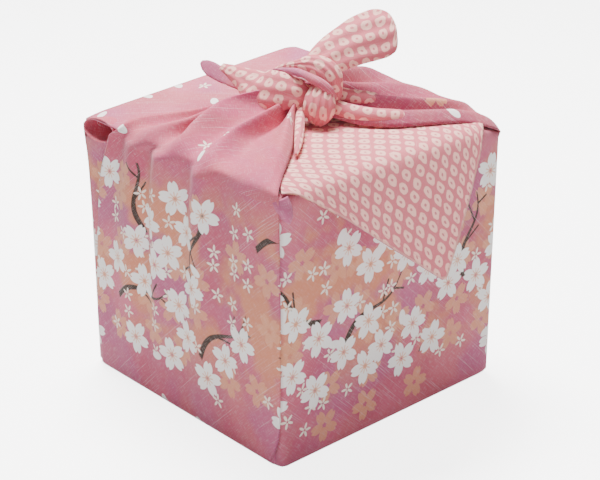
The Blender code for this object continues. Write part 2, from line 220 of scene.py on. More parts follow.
def gathered_side(side, folds, row):
    """Control places round one gathered side at one height: pleat, outer layer, pleat."""
    depth = PLEAT_DEPTH[row]
    first, last = folds[0].up[row], folds[-1].up[row]
    way = 1 if last > first else -1
    if depth > 0:
        turn = 0.5 * LAYER
        enter = [(-3.0, 0)]
        for low in (0, 2):
            enter += [(0, low)] if low else []
            enter += [(depth, low), (depth + turn, low + 0.5), (depth, low + 1)]
            enter += [(0, low + 1), (-turn, low + 1.5)]
        pleats = [[(way * (PLEAT_TUCK + along), layer * LAYER) for along, layer in enter]] * 2
    else:
        shares = [step / PLEAT_COLUMNS for step in range(PLEAT_COLUMNS)]
        near = (WIDER[-side], WIDER[side])
        pleats = [[(-way * SLANT_STEP * PLEAT_COLUMNS * (1 - share), corner + (OUTER - corner) * share)
                   for share in shares] for corner in near]
    places = [(first + along, out) for along, out in pleats[0]]
    places += [(fold.up[row], OUTER + fold.proud[row]) for fold in folds]
    places += [(last - along, out) for along, out in reversed(pleats[1])]
    inset = BASE_INSET if row == 0 else 0.0
    shorter = 1 - inset / HALF_Y
    return [(side * (HALF_X + out - inset), along * shorter, ROWS[row]) for along, out in places]


def plain_side(side, widths, row):
    """Control places along the front (-1) or back (1) wall at one height, corners included."""
    inset = BASE_INSET if row == 0 else 0.0
    x_wall = HALF_X + WIDER[side] + FLARE[row] * (side > 0) - inset
    y_wall, arc = HALF_Y - inset, 0.3 * CORNER
    start = [(side * x_wall, side * (y_wall - CORNER)),
             (side * (x_wall - arc), side * (y_wall - arc)),
             (side * (x_wall - CORNER), side * y_wall)]
    places = start + [(x, side * y_wall) for x in widths] + [(-x, y) for x, y in reversed(start)]
    return [(x, y, ROWS[row]) for x, y in places]


def control_ring(row):
    """The four sides' control places at one height, counterclockwise from above.

    The top row sinks in the left back corner, where the pocket's mouth opens, and slopes down
    at the right front corner.
    """
    front, right, back, left = (plain_side(-1, FRONT_WIDTHS, row), gathered_side(1, RIGHT_FOLDS, row),
                                plain_side(1, BACK_WIDTHS, row), gathered_side(-1, LEFT_FOLDS, row))
    if row == len(ROWS) - 1:
        for side, place, sink in ((back, -1, POCKET_SINK), (left, 0, POCKET_SINK),
                                  (front, -3, 0.7 * CORNER_SINK), (front, -2, CORNER_SINK),
                                  (front, -1, CORNER_SINK), (right, 0, 0.7 * CORNER_SINK),
                                  (right, PLEAT_COLUMNS, 0.7 * CORNER_SINK),
                                  (right, PLEAT_COLUMNS + 1, 0.3 * CORNER_SINK)):
            x, y, z = side[place]
            side[place] = (x, y, z - sink)
    return [front, right, back, left]


def wall_grids():
    """The walls as one closed grid of places, and each side's first and last column in it."""
    rings = [np.array([p for side in control_ring(row) for p in side], float) for row in range(len(ROWS))]
    sides = np.cumsum([0] + [len(side) for side in control_ring(0)])
    closed = [np.concatenate([ring[-3:], ring, ring[:4]]) for ring in rings]
    longest = np.max([np.linalg.norm(np.diff(ring[2:-3], axis=0), axis=1) for ring in closed], axis=0)[1:]
    grain = np.full(len(longest), GRAIN)
    for side in (1, 3):
        for first in (sides[side], sides[side + 1] - PLEAT_COLUMNS - 1):
            grain[first - (first == sides[side]):first + PLEAT_COLUMNS] = HIDDEN_GRAIN
    counts = np.maximum(1, np.ceil(longest / grain)).astype(int)
    rows = []
    for ring in closed:
        knots = chord_knots(ring)
        at = subdivided(knots[3:-3], counts)
        rows.append(running_curve(knots, ring, at))
    rows = np.array(rows)                                  # control rows x dense columns x 3
    columns = np.concatenate([[0], np.cumsum(counts)])     # control column -> dense column
    heights = np.array(ROWS)
    at = subdivided(heights, ROW_STEPS)
    grid = running_curve(heights, rows, at)
    slope = (rows[-1] - rows[-2]) / (heights[-1] - heights[-2])
    return grid, slope, columns, sides, counts


def strand_over(folds, start, slope, counts):
    """A gathered side carried on from its wall's top row to the knot, folds side by side."""
    control = np.array([[fold.over[i] for fold in folds] for i in range(len(folds[0].over))], float)
    dense = [start]
    for row in control:
        knots = chord_knots(row)
        dense.append(running_curve(knots, row, subdivided(knots, counts)))
    dense = np.array(dense)
    knots = chord_knots(dense)
    steps = np.maximum(2, np.ceil(np.diff(knots) / STRAND_GRAIN)).astype(int)
    return running_curve(knots, dense, subdivided(knots, steps), start_slope=slope)


def rolled_under(strand, column):
    """A strand with its back edge rolled down onto the back cloth, and in under itself.

    From the edge on, the way down is a sine of the share of the roll, and the way back half a
    wave of a sine less the square of that share.
    """
    edge, clear, rows = strand[:, column], 0.9, 5
    high = np.maximum(edge[:, 2] - TOP - clear - back_lift(edge[:, 0], edge[:, 1]), 0)
    high *= ramp(np.arange(len(edge)), 0, 6)
    step = np.arange(1, rows + 1)[:, None]
    share = step / rows
    roll = np.repeat(edge[None], rows, axis=0)
    roll[..., 0] -= 0.2 * step * np.sign(edge[:, 0])
    roll[..., 1] += high * (0.16 * np.sin(np.pi * share) - 0.25 * share ** 2) - 0.3 * step
    roll[..., 2] -= high * np.sin(0.5 * np.pi * share)
    roll = roll.transpose(1, 0, 2)
    return np.concatenate([strand, roll] if column else [roll[:, ::-1], strand], axis=1)


def sections_over(sections, steps, start):
    """A plain side carried over the top along (y, z) sections, every column keeping its x."""
    path = np.array(sections, float)
    knots = chord_knots(path)
    line = running_curve(knots, path, subdivided(knots, steps))
    grid = np.empty((len(line) + 1, len(start), 3))
    grid[0] = start
    grid[1:, :, 0] = start[:, 0]
    grid[1:, :, 1:] = line[:, None, :]
    return grid


def back_lift(x, y):
    """How much higher the back cloth lies than TOP: more towards the back and the right."""
    return (4.5 + 0.06 * x) * ramp(y, 5, 65)


def rolled_margins(grid):
    """The back cloth with both margins rolled down, by powers of the way past MARGIN.

    The left one goes down with its square and the right one, more sharply, with its sixth power.
    Over the pocket in the left back corner the margin stays up, as the pocket's upper lip. The
    back edge stands higher towards the right.
    """
    x, y = grid[..., 0].copy(), grid[..., 1]
    lift = back_lift(x, y)
    lift[0] = 0
    past = np.maximum(np.abs(x) - MARGIN, 0) / (BACK_EDGE - MARGIN)
    ready = ramp(np.arange(len(grid))[:, None], 0, np.where(x < 0, 4.0, 1.5)) * (y > -80)
    near_back = ramp(y, 42, 50)
    lip = near_back * (x < 0)
    corner = ramp(y, 76, 88) ** 2
    grid[..., 0] += np.sign(x) * (0.6 + 2.2 * near_back - 1.0 * lip) * past * ready
    rolled = np.where(x < 0, (8.0 - 7.5 * lip + 5.0 * corner * lip) * past ** 2, (8.0 + lift) * past ** 6)
    grid[..., 2] += lift - rolled * ready
    return grid


def corner_pocket():
    """The pocket in the left back corner: a mouth ellipse that shrinks and sinks inward.

    Round the mouth a place is the middle plus cosine and sine times the half sizes; going in,
    the half sizes shrink with the cube of the depth, and its place moves in towards the knot.
    """
    depth = np.linspace(0, 1, 14)[:, None]
    shrink = 1 - 0.85 * depth ** 3
    along = POCKET_HALF[0] * shrink * np.cos(AROUND)
    upward = POCKET_HALF[1] * shrink * np.sin(AROUND)
    x, y, z = POCKET_MOUTH
    grid = np.empty(along.shape + (3,))
    grid[..., 0] = x + POCKET_DEPTH * depth + 0.25 * upward
    grid[..., 1] = y + along - 3.0 * depth
    grid[..., 2] = z + np.where(upward > 0, 0.85, 1.0) * upward - 0.04 * along
    out = WALL_START + 166.0 + running_length(grid, 0)
    flat = np.stack([-out, grid[..., 1]], axis=-1)
    piece = mesh_piece("corner_pocket", [grid[:, ::-1]], [flat[:, ::-1]])
    thicken(piece)
    return piece


def thicken(piece):
    """Gives a sheet the cotton's thickness, with its inner side in the second material."""
    thickness = piece.modifiers.new("cotton thickness", "SOLIDIFY")
    thickness.thickness = CLOTH * MM
    thickness.offset = 0.0
    thickness.material_offset = 1


def front_over(start):
    """The front cloth: in over the top, turned back under the knot, then out past the edge.

    One path of (y, z) serves every column: the sections' curve and a straight line leaning out
    after it. Over the top the outermost columns draw in, to lie under the strands. Beyond the
    turn, each column takes even steps up to its own hem. The right front corner slopes down.
    """
    path = np.array(FRONT_SECTIONS, float)
    knots = chord_knots(path)
    line = running_curve(knots, path, subdivided(knots, FRONT_STEPS))
    turned = sum(FRONT_STEPS[:FRONT_TURN])
    lean = np.array([-math.sin(FLAP_LEAN), -math.cos(FLAP_LEAN)])
    beyond = np.concatenate([line[turned:], line[-1] + FLAP_REACH * lean[None]])
    length = running_length(beyond, 0)
    x = start[:, 0]
    hem = length[-2] + np.interp(x, *np.transpose(FLAP_HEM))
    run = np.linspace(0, 1, FLAP_ROWS)[1:, None] * hem
    grid = np.empty((turned + FLAP_ROWS + 1, len(x), 3))
    grid[0] = start
    grid[1:, :, 0] = x
    grid[1:turned + 2, :, 1:] = line[:turned + 1, None]
    grid[turned + 2:, :, 1] = np.interp(run, length, beyond[:, 0])
    grid[turned + 2:, :, 2] = np.interp(run, length, beyond[:, 1])
    inside = ramp(grid[..., 1], -86, -74)
    inside[turned + 2:] = ramp(grid[turned + 2:, :, 1], -89, -80)
    grid[..., 0] += inside * (np.clip(x, -DRAWN_IN, DRAWN_IN) - x)
    slope = ramp(grid[1:, :, 0], 70, 84) * ramp(grid[1:, :, 1], -68, -82)
    grid[1:, :, 2] -= CORNER_SINK * slope ** 1.5
    return grid


def running_length(grid, axis):
    """Length run along one axis of a line or grid of places."""
    step = np.linalg.norm(np.diff(grid, axis=axis), axis=-1)
    pad = [(int(way == axis), 0) for way in range(step.ndim)]
    return np.pad(np.cumsum(step, axis=axis), pad)


def flat_places(grid, side, start):
    """Where a side's grid lies on the flat cloth: run along its rows, and out from the centre."""
    along, out = np.array(SIDE_AXES[side][0], float), np.array(SIDE_AXES[side][1], float)
    middle = np.argmin(np.abs(grid[0, :, :2] @ along))
    run = running_length(grid, 1)
    run = run - run[:, middle:middle + 1] + grid[0, middle, :2] @ along
    away = start + running_length(grid, 0)
    return run[..., None] * along + away[..., None] * out


def quads(rows, columns, first):
    """Vertex numbers of a grid's quads, counterclockwise with columns rightwards and rows up."""
    corner = (first + np.arange(rows - 1)[:, None] * columns + np.arange(columns - 1)).ravel()
    return np.stack([corner, corner + 1, corner + columns + 1, corner + columns], axis=1)


def mesh_piece(name, grids, flats, hems=None, cap=None):
    """One object from grids that share their edges: same places are welded, UV map "flat"."""
    points = np.concatenate([g.reshape(-1, 3) for g in grids])
    flat = np.concatenate([f.reshape(-1, 2) for f in flats])
    faces, first = [], 0
    for g in grids:
        faces.append(quads(g.shape[0], g.shape[1], first))
        first += g.shape[0] * g.shape[1]
    faces = np.concatenate(faces)
    _, keep, number = np.unique(np.round(points, 3), axis=0, return_index=True, return_inverse=True)
    number = number.ravel()
    welded = number[faces].tolist()
    loops = flat[faces].reshape(-1, 2)
    for ends in (cap or []):
        welded.append(number[ends].tolist())
        loops = np.concatenate([loops, flat[ends]])
    mesh = bpy.data.meshes.new(name)
    mesh.from_pydata(points[keep] * MM, [], welded)
    layer = mesh.uv_layers.new(name="flat")
    layer.data.foreach_set("uv", (loops * MM).astype(np.float32).ravel())
    if hems is not None:
        hem = mesh.attributes.new("hem", "FLOAT", "POINT")
        hem.data.foreach_set("value", np.concatenate([h.ravel() for h in hems])[keep].astype(np.float32))
    mesh.polygons.foreach_set("use_smooth", np.ones(len(welded), bool))
    piece = bpy.data.objects.new(name, mesh)
    bpy.context.scene.collection.objects.link(piece)
    return piece


def wrapping_cloth():
    """The whole sheet: floor, walls, pleats and the four runs of cloth over the top."""
    walls, slope, columns, sides, counts = wall_grids()
    grids, flats = [], []
    for side, hidden in enumerate((0, PLEAT_COLUMNS, 2, PLEAT_COLUMNS)):
        first, last = sides[side], sides[side + 1]
        a, b = columns[first], columns[min(last, len(columns) - 1)]
        wall = walls[:, a:b + 1]
        a, b = columns[first + hidden], columns[last - 1 - hidden]
        start, mine = walls[-1, a:b + 1], counts[first + hidden:last - 1 - hidden]
        if side == 0:
            top = front_over(start)
        elif side == 2:
            top = rolled_margins(sections_over(BACK_SECTIONS, BACK_STEPS, start))
        else:
            top = strand_over(RIGHT_FOLDS if side == 1 else LEFT_FOLDS, start, slope[a:b + 1], mine)
            top = rolled_under(top, -1 if side == 1 else 0)
        grids += [wall, top]
        flats += [flat_places(wall, side, WALL_START), flat_places(top, side, WALL_START + ROWS[-1])]
    rings = np.array([0.02, 0.35, 0.7, 0.9, 1.0])[:, None, None]
    floor = np.repeat(walls[:1], len(rings), axis=0)
    floor[..., :2] *= rings
    grids.append(floor)
    flats.append(floor[..., :2].copy())
    hems = [np.full(grid.shape[:2], NO_HEM) for grid in grids]
    hems[1] = flap_hem_distance(grids[1])
    first = sum(g.shape[0] * g.shape[1] for g in grids[:-1])
    cap = [first + np.arange(walls.shape[1] - 1)[::-1]]
    piece = mesh_piece("furoshiki_cloth", grids, flats, hems, cap)
    thicken(piece)
    return piece


def flap_hem_distance(grid):
    """How far each place of the front cloth is from the flap's two slanting hems, in mm."""
    out = running_length(grid, 0)
    short = out[-1] - out
    return np.where(np.arange(len(grid))[:, None] > len(grid) - FLAP_ROWS, short / math.sqrt(2), NO_HEM)


# Sections of the knot's folds: x, y, z of the fold's middle, half its width, half its thickness.
RIGHT_LEAF = (
    (2.3, -14.2, 191.0, 5.8, 4.5), (10.4, -14.7, 199.8, 9.8, 3.4), (18.8, -16.7, 204.8, 12, 2.4),
    (29.0, -19.4, 208.6, 13.8, 1.8), (37.6, -22.5, 211.8, 15.4, 1.5), (44.6, -26.1, 214.0, 15.8, 1.3),
    (49.5, -29.0, 215.3, 14.4, 1.2), (52.4, -30.5, 215.8, 11.6, 1), (53.8, -31.3, 216.0, 7.6, 0.8),
    (54.4, -31.7, 216.1, 2.4, 0.5),
)
BAND = (
    (-7.5, 6.2, 194.9, 0.7, 0.9), (-4.6, 0.6, 197.3, 2.0, 1.6), (-1.3, -7.0, 199.6, 3.3, 2.6),
    (2.7, -14.9, 201.0, 6.5, 3.4), (6.5, -21.9, 198.7, 7.7, 3.6), (9.2, -25.7, 192.8, 7.0, 3.4),
    (11.1, -25.8, 184.5, 4.7, 3.0), (11.6, -23.3, 177.1, 2.8, 2.4),
)
BAND_HEM = (
    (-8.7, 4.8, 195.6, 0.5, 0.7), (-7.7, -2.8, 196.9, 1.5, 1.2), (-5.7, -10.3, 197.2, 2.3, 1.7),
    (-2.8, -18.5, 195.4, 2.7, 2.0), (0.4, -26.1, 192.4, 2.9, 2.2), (3.8, -29.7, 188.0, 2.6, 2.0),
    (8.3, -28.6, 183.0, 1.5, 1.4),
)
LEFT_TAIL = (
    (4.3, -13.2, 182.9, 5.0, 3.0), (-3.0, -14.3, 184.9, 7.8, 3.6), (-8.2, -13.3, 186.4, 9.2, 3.2),
    (-14.1, -8.7, 187.2, 11.2, 2.6), (-17.9, -1.1, 186.8, 12.2, 2.2), (-19.3, 6.8, 186.6, 11.8, 2.0),
    (-19.2, 14.5, 188.2, 9.0, 1.8), (-19.4, 21.5, 189.6, 6.4, 1.7), (-20.0, 30.1, 190.9, 4.6, 1.5),
    (-21.0, 37.0, 192.2, 2.6, 1.2),
)
LEFT_TIP = (
    (-25.4, 50.4, 193.0, 1.2, 0.8), (-24.6, 47.4, 191.6, 3.4, 1.3), (-23.6, 42.1, 189.6, 4.6, 1.6),
    (-22.4, 34.1, 187.6, 4.4, 1.7), (-21.5, 24.7, 185.4, 3.2, 1.6), (-21.0, 14.6, 182.6, 1.2, 1.1),
)
LOOP = (
    (8.4, -15.0, 188.6, 4.2, 4.0), (4.3, -20.9, 187.4, 6.0, 5.0), (-0.2, -25.3, 183.6, 8.8, 6.0),
    (-2.6, -27.3, 178.6, 9.4, 6.2), (-3.2, -26.3, 173.6, 7.4, 5.0), (-1.7, -23.3, 170.4, 3.8, 2.4),
)
MIDDLE_ROLL = (
    (12.5, -13.5, 184.5, 3.0, 3.0), (19.0, -21.5, 181.5, 3.8, 3.6), (25.0, -27.0, 179.6, 4.2, 3.6),
    (30.5, -31.0, 178.6, 4.3, 3.3), (35.0, -33.9, 177.8, 3.9, 2.8), (37.6, -35.4, 177.0, 2.2, 1.8),
)
FRONT_ROLL = (
    (8.0, -18.0, 179.5, 3.4, 3.6), (11.0, -29.0, 176.4, 4.6, 4.0), (17.5, -39.5, 173.6, 5.0, 4.4),
    (26.5, -49.0, 172.5, 5.0, 4.3), (34.5, -55.0, 172.0, 4.6, 3.8), (38.8, -57.6, 171.6, 2.4, 2.2),
)
LEFT_STRIP = (
    (-5.0, -14.0, 178.6, 2.2, 2.0), (-10.0, -19.5, 175.6, 2.6, 2.4), (-19.0, -29.0, 173.2, 2.8, 2.6),
    (-29.5, -40.0, 172.0, 2.6, 2.4), (-39.5, -50.0, 171.2, 2.0, 2.0), (-47.0, -57.0, 170.4, 0.8, 1.0),
)
CORNER_TUCK = (
    (-85.2, -87.4, 164.0, 4.6, 1.0), (-84.2, -89.4, 158.8, 4.6, 1.7), (-82.6, -90.0, 153.8, 3.4, 1.8),
    (-81.2, -89.4, 150.2, 1.0, 1.0),
)
FACING = (-0.61, -0.68, 0.41)  # the way the knot's broad faces look
AROUND = np.linspace(0, 2 * np.pi, 65)    # angles round a closed oval
BAND_GRAIN = 0.9               # grid steps along a band
BIAS = math.radians(38)        # the cloth's square against the way a knot's band runs
GATHER = 1.12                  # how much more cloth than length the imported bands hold


def folded_band(name, sections, facing=FACING, pleats=0.0, count=2.0, curl=0.0):
    """A band of packed cloth: a closed oval carried along a smooth path of sections.

    Across the band a place is the path's own place plus cosine times the half width. Along the
    face it is sine times the half thickness, less curl times the cosine squared, and with
    pleats: a wave of `count` folds across the band, `pleats` high.
    """
    middle, half_width, half_thick = np.split(np.array(sections, float), (3, 4), axis=1)
    knots = chord_knots(middle)
    at = subdivided(knots, np.maximum(2, np.ceil(np.diff(knots) / BAND_GRAIN)).astype(int))
    centre = running_curve(knots, middle, at)
    width, thick = running_curve(knots, half_width, at), running_curve(knots, half_thick, at)
    along = np.gradient(centre, axis=0)
    along /= np.linalg.norm(along, axis=1, keepdims=True)
    across = np.cross(np.array(facing), along)
    across /= np.linalg.norm(across, axis=1, keepdims=True)
    face = np.cross(along, across)
    beside, proud = np.cos(AROUND), np.sin(AROUND)
    full = np.minimum(width / width.max(), 1)
    wave = pleats * full * np.cos(np.pi * count * beside + 2.0 * at[:, None] / at[-1]) * (1 - beside ** 6)
    lift = thick * proud - curl * full * beside ** 2 + wave
    grid = centre[:, None] + across[:, None] * (width * beside)[..., None] + face[:, None] * lift[..., None]
    around = running_length(grid, 1)
    run = running_length(centre[:, None], 0)
    off = around - around[:, -1:] / 2
    c, s = GATHER * math.cos(BIAS), GATHER * math.sin(BIAS)
    flat = np.stack([c * run - s * off, s * run + c * off], axis=-1)
    turn = len(AROUND) - 1
    ends = [np.arange(turn)[::-1], (len(at) - 1) * len(AROUND) + np.arange(turn)]
    return mesh_piece(name, [grid], [flat], cap=ends)


# ---- materials ----

def shade(red, green, blue):
    """A linear colour from the 0-255 numbers of a dyer's shade card."""
    c = np.array([red, green, blue]) / 255
    c = np.where(c <= 0.04045, c / 12.92, ((c + 0.055) / 1.055) ** 2.4)
    return (*c.tolist(), 1.0)


class Weaver:
    """Builds one node tree. Each call adds a node, feeds its inputs and gives back an output."""

    def __init__(self, tree):
        self.tree = tree

    def feed(self, socket, value):
        if isinstance(value, bpy.types.NodeSocket):
            self.tree.links.new(value, socket)
        elif value is not None:
            socket.default_value = value

    def math(self, operation, a, b=None, c=None, clamp=False):
        node = self.tree.nodes.new("ShaderNodeMath")
        node.operation = operation
        node.use_clamp = clamp
        for socket, value in zip(node.inputs, (a, b, c)):
            self.feed(socket, value)
        return node.outputs[0]

    def times(self, a, b, clamp=False):
        return self.math("MULTIPLY", a, b, clamp=clamp)

    def plus(self, a, b):
        return self.math("ADD", a, b)

    def minus(self, a, b, clamp=False):
        return self.math("SUBTRACT", a, b, clamp=clamp)

    def over(self, a, b):
        return self.math("DIVIDE", a, b)

    def size(self, a):
        return self.math("ABSOLUTE", a)

    def vector(self, operation, a, b=None, scale=None):
        node = self.tree.nodes.new("ShaderNodeVectorMath")
        node.operation = operation
        self.feed(node.inputs[0], a)
        self.feed(node.inputs[1], b)
        if scale is not None:
            self.feed(node.inputs["Scale"], scale)
        return node.outputs["Value" if operation in ("LENGTH", "DOT_PRODUCT", "DISTANCE") else "Vector"]

    def split(self, vector):
        node = self.tree.nodes.new("ShaderNodeSeparateXYZ")
        self.feed(node.inputs[0], vector)
        return node.outputs[0], node.outputs[1]

    def join(self, x, y):
        node = self.tree.nodes.new("ShaderNodeCombineXYZ")
        self.feed(node.inputs[0], x)
        self.feed(node.inputs[1], y)
        return node.outputs[0]

    def turned(self, vector, angle):
        """The vector turned about Z."""
        node = self.tree.nodes.new("ShaderNodeVectorRotate")
        node.rotation_type = "Z_AXIS"
        self.feed(node.inputs["Vector"], vector)
        self.feed(node.inputs["Angle"], angle)
        return node.outputs[0]

    def soft(self, value, low, high, a=0.0, b=1.0):
        """Goes smoothly from a to b while the value goes from low to high."""
        node = self.tree.nodes.new("ShaderNodeMapRange")
        node.interpolation_type = "SMOOTHSTEP"
        for socket, v in zip(node.inputs[:5], (value, low, high, a, b)):
            self.feed(socket, v)
        return node.outputs[0]

    def blend(self, share, a, b):
        node = self.tree.nodes.new("ShaderNodeMix")
        node.data_type = "RGBA"
        self.feed(node.inputs[0], share)
        self.feed(node.inputs[6], a)
        self.feed(node.inputs[7], b)
        return node.outputs[2]

    def noise(self, vector, scale, detail=2.0, rough=0.5):
        node = self.tree.nodes.new("ShaderNodeTexNoise")
        node.noise_dimensions = "2D"
        for name, value in (("Vector", vector), ("Scale", scale), ("Detail", detail), ("Roughness", rough)):
            self.feed(node.inputs[name], value)
        return node.outputs[0]

    def cells(self, vector, loose):
        node = self.tree.nodes.new("ShaderNodeTexVoronoi")
        node.voronoi_dimensions = "2D"
        self.feed(node.inputs["Vector"], vector)
        self.feed(node.inputs["Scale"], 1.0)
        self.feed(node.inputs["Randomness"], loose)
        return node.outputs["Position"], node.outputs["Color"]

    def group(self, tree, **values):
        node = self.tree.nodes.new("ShaderNodeGroup")
        node.node_tree = tree
        for name, value in values.items():
            self.feed(node.inputs[name.replace("_", " ")], value)
        return node.outputs


def new_group(name, inputs, outputs):
    """An empty node group with named inputs and outputs, its weaver, and both end nodes."""
    tree = bpy.data.node_groups.new(name, "ShaderNodeTree")
    for direction, sockets in (("INPUT", inputs), ("OUTPUT", outputs)):
        for label, kind in sockets:
            tree.interface.new_socket(label, in_out=direction, socket_type="NodeSocket" + kind)
    return Weaver(tree), tree.nodes.new("NodeGroupInput").outputs, tree.nodes.new("NodeGroupOutput").inputs


def blossom_group():
    """Five petals round a centre: ellipses on five spokes, notched at the tip, with stamen lines.

    The angle is folded onto one spoke; along it and beside it give the petal's ellipse.
    """
    w, inside, out = new_group("blossom", [("Place", "Vector"), ("Radius", "Float"), ("Slim", "Float"),
                                           ("Notch", "Float")], [("Petals", "Float"), ("Stamens", "Float")])
    x, y = w.split(inside["Place"])
    distance = w.over(w.vector("LENGTH", inside["Place"]), inside["Radius"])
    angle = w.math("ARCTAN2", y, x)
    fold = w.math("PINGPONG", angle, math.pi / 5)
    along = w.times(distance, w.math("COSINE", fold))
    beside = w.times(distance, w.math("SINE", fold))
    long = w.math("POWER", w.over(w.minus(along, 0.57), 0.44), 2.0)
    wide = w.math("POWER", w.over(beside, inside["Slim"]), 2.0)
    petal = w.soft(w.plus(long, wide), 1.08, 0.94)
    tip = w.minus(along, w.times(beside, 1.2))
    cut = w.times(w.soft(tip, 0.84, 0.88), inside["Notch"])
    w.feed(out["Petals"], w.minus(petal, cut, clamp=True))
    half = w.math("PINGPONG", angle, math.pi / 10)
    line = w.soft(w.times(distance, w.math("SINE", half)), 0.045, 0.02)
    reach = w.times(w.soft(distance, 0.42, 0.36), w.soft(distance, 0.03, 0.08))
    w.feed(out["Stamens"], w.times(line, reach))
    return w.tree


def scatter_group():
    """Strewn motifs: loose cells, each turned at random; gives a place in its cell and a chance."""
    w, inside, out = new_group("strewn", [("Place", "Vector"), ("Cell", "Float"), ("Loose", "Float"),
                                          ("Shift", "Vector")],
                               [("Local", "Vector"), ("Middle", "Vector"), ("Chance", "Float")])
    moved = w.vector("ADD", inside["Place"], inside["Shift"])
    scaled = w.vector("DIVIDE", moved, w.join(inside["Cell"], inside["Cell"]))
    position, colour = w.cells(scaled, inside["Loose"])
    local = w.vector("SCALE", w.vector("SUBTRACT", scaled, position), scale=inside["Cell"])
    parts = w.tree.nodes.new("ShaderNodeSeparateColor")
    w.feed(parts.inputs[0], colour)
    w.feed(out["Local"], w.turned(local, w.times(parts.outputs[0], 2 * math.pi)))
    middle = w.vector("SCALE", position, scale=inside["Cell"])
    w.feed(out["Middle"], w.vector("SUBTRACT", middle, inside["Shift"]))
    w.feed(out["Chance"], parts.outputs[1])
    return w.tree


def slub_group():
    """Slub cotton: fine crossed threads, and long uneven thick threads one way, as height and tint.

    Places are in mm on the flat cloth, whose threads run at 45 degrees to its U and V.
    """
    w, inside, out = new_group("slub weave", [("Place", "Vector")], [("Height", "Float"), ("Streak", "Float")])
    a, b = w.split(w.turned(inside["Place"], -math.pi / 4))
    thick = w.noise(w.join(w.over(a, 60.0), w.over(b, 0.5)), 1.0, 1.0)
    slub = w.soft(thick, 0.68, 0.78)
    fine = w.noise(w.join(w.over(a, 5.0), w.over(b, 0.5)), 1.0, 2.0)
    cross = w.noise(w.join(w.over(a, 0.5), w.over(b, 5.0)), 1.0, 2.0)
    threads = w.plus(w.times(w.math("SINE", w.times(a, 11.0)), 0.25),
                     w.times(w.math("SINE", w.times(b, 11.0)), 0.25))
    height = w.plus(w.plus(w.times(fine, 1.2), w.times(cross, 0.7)),
                    w.plus(w.times(slub, 0.9), threads))
    w.feed(out["Height"], height)
    grain = w.minus(w.plus(fine, cross), 1.0)
    w.feed(out["Streak"], w.plus(w.times(slub, 0.6), w.times(grain, 0.8)))
    return w.tree


def rings_group():
    """Shibori rings: a square lattice at 45 degrees, each cell a squarish ring with a dark dot.

    In a cell the ring's distance is the sum of both ways to a power, rooted again, and the dot's
    is the plain distance. Noise stands for the uneven pull of the tying.
    """
    w, inside, out = new_group("shibori rings", [("Place", "Vector"), ("Pitch", "Float")],
                               [("Ring", "Float"), ("Dot", "Float"), ("Height", "Float")])
    a, b = w.split(w.turned(inside["Place"], -math.pi / 4))
    pulls = w.noise(inside["Place"], 0.16), w.noise(w.vector("ADD", inside["Place"], (31.0, 17.0, 0.0)), 0.16)
    ways = []
    for way, pull in zip((a, b), pulls):
        moved = w.plus(way, w.times(w.minus(pull, 0.5), 2.4))
        ways.append(w.size(w.minus(w.math("FRACT", w.over(moved, inside["Pitch"])), 0.5)))

    def distance(power):
        return w.math("POWER", w.plus(*(w.math("POWER", way, power) for way in ways)), 1 / power)

    squarish = distance(2.6)
    w.feed(out["Ring"], w.soft(squarish, 0.40, 0.33))
    w.feed(out["Dot"], w.soft(distance(2.0), 0.14, 0.08))
    w.feed(out["Height"], w.soft(squarish, 0.5, 0.2))
    return w.tree


def sprig_group():
    """A short curved brown sprig: a tapering stem whose bend is a sine of its length, three twigs."""
    w, inside, out = new_group("sprig", [("Place", "Vector"), ("Length", "Float")], [("Stem", "Float")])
    x, y = w.split(w.vector("DIVIDE", inside["Place"], w.join(inside["Length"], inside["Length"])))
    bend = w.times(w.math("SINE", w.times(x, 7.0)), 0.07)
    off = w.size(w.minus(y, bend))
    thick = w.soft(x, -0.5, 0.5, 0.034, 0.008)
    stem = w.times(w.soft(w.minus(off, thick), 0.006, -0.004),
                  w.soft(w.size(x), 0.5, 0.47))
    parts = [stem]
    for x0, y0, dx, dy, reach in ((-0.12, -0.05, 0.72, 0.69, 0.26), (0.12, 0.05, 0.80, -0.60, 0.24),
                                  (0.30, 0.06, 0.64, 0.77, 0.15)):
        px, py = w.minus(x, x0), w.minus(y, y0)
        run = w.plus(w.times(px, dx), w.times(py, dy))
        side = w.size(w.minus(w.times(px, dy), w.times(py, dx)))
        within = w.times(w.soft(run, -0.01, 0.0), w.soft(run, reach, reach - 0.01))
        parts.append(w.times(w.soft(side, 0.014, 0.008), within))
    total = parts[0]
    for part in parts[1:]:
        total = w.math("MAXIMUM", total, part)
    w.feed(out["Stem"], total)
    return w.tree


PINK, DEEP, PEACH, GHOST = shade(205, 99, 123), shade(188, 82, 107), shade(212, 130, 98), shade(222, 152, 118)
# The first and last of these deeper grounds are painted shade: they darken the ground over the gathered strands
# in place of the shade of their folds.
PAINTED_RIGHT_SHADE, MAUVE, PAINTED_STRAND_SHADE = shade(160, 58, 88), shade(172, 86, 130), shade(192, 52, 90)     # deeper grounds
WHITE, CREAM, BROWN = shade(248, 243, 240), shade(242, 226, 212), shade(54, 34, 22)
STAMEN = shade(232, 172, 140)
RING, ROSE, ROSE_DOT = shade(252, 190, 176), shade(214, 106, 118), shade(206, 100, 112)


def cotton(name):
    """A cloth material, its weaver, the place on the flat cloth in mm, and the weave there."""
    material = bpy.data.materials.new(name)
    material.use_nodes = True
    w = Weaver(material.node_tree)
    uv = w.tree.nodes.new("ShaderNodeUVMap")
    uv.uv_map = "flat"
    place = w.vector("SCALE", uv.outputs[0], scale=1000.0)
    return material, w, place, w.group(GROUPS["slub"], Place=place)


